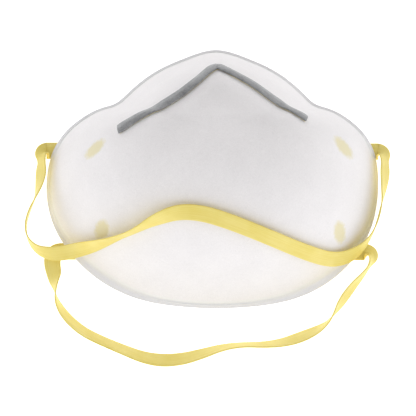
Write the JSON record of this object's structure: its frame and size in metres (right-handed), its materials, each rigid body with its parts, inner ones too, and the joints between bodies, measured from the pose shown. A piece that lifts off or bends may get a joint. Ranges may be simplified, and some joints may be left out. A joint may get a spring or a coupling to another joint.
{
  "type": "disposable dust mask",
  "caption": "Moulded cup respirator with a bent nose clip, a nose foam and two elastic headbands that swing on their welded ends.",
  "frame": {"origin": "under the middle of the cup, on the surface that its rim rests on", "axes": "+X across the face, +Y from the chin to the nose, +Z away from the face"},
  "size_m": [0.1481, 0.1279, 0.0502],
  "materials": {
    "cover_web": "matte",
    "shell_felt": "matte",
    "filter_web": "matte",
    "inner_web": "matte",
    "rim_edge": "satin",
    "nose_clip": "matte",
    "adhesive": "satin",
    "nose_foam": "matte",
    "headband": "matte",
    "weld": "satin"
  },
  "bodies": {
    "respirator": {"outer_cover_web": "cover_web", "shaping_shell": "shell_felt", "filter_web": "filter_web", "inner_cover_web": "inner_web", "rim_edge": "rim_edge", "nose_clip": "nose_clip", "nose_clip_adhesive": "adhesive", "nose_foam": "nose_foam", "nose_foam_adhesive": "adhesive", "upper_left_band_end": "headband", "upper_left_weld": "weld", "upper_right_band_end": "headband", "upper_right_weld": "weld", "lower_left_band_end": "headband", "lower_left_weld": "weld", "lower_right_band_end": "headband", "lower_right_weld": "weld"},
    "upper_band": {"upper_headband": "headband"},
    "lower_band": {"lower_headband": "headband"}
  },
  "joints": [
    {"name": "upper_headband_swing", "type": "hinge", "parent": "respirator", "child": "upper_band", "pos_m": [0.0673, 0.0115, 0.00045], "axis": [-1, 0, 0], "range_deg": [0, 200]},
    {"name": "lower_headband_swing", "type": "hinge", "parent": "respirator", "child": "lower_band", "pos_m": [0.0615, -0.0295, 0.00045], "axis": [1, 0, 0], "range_deg": [0, 90]}
  ]
}
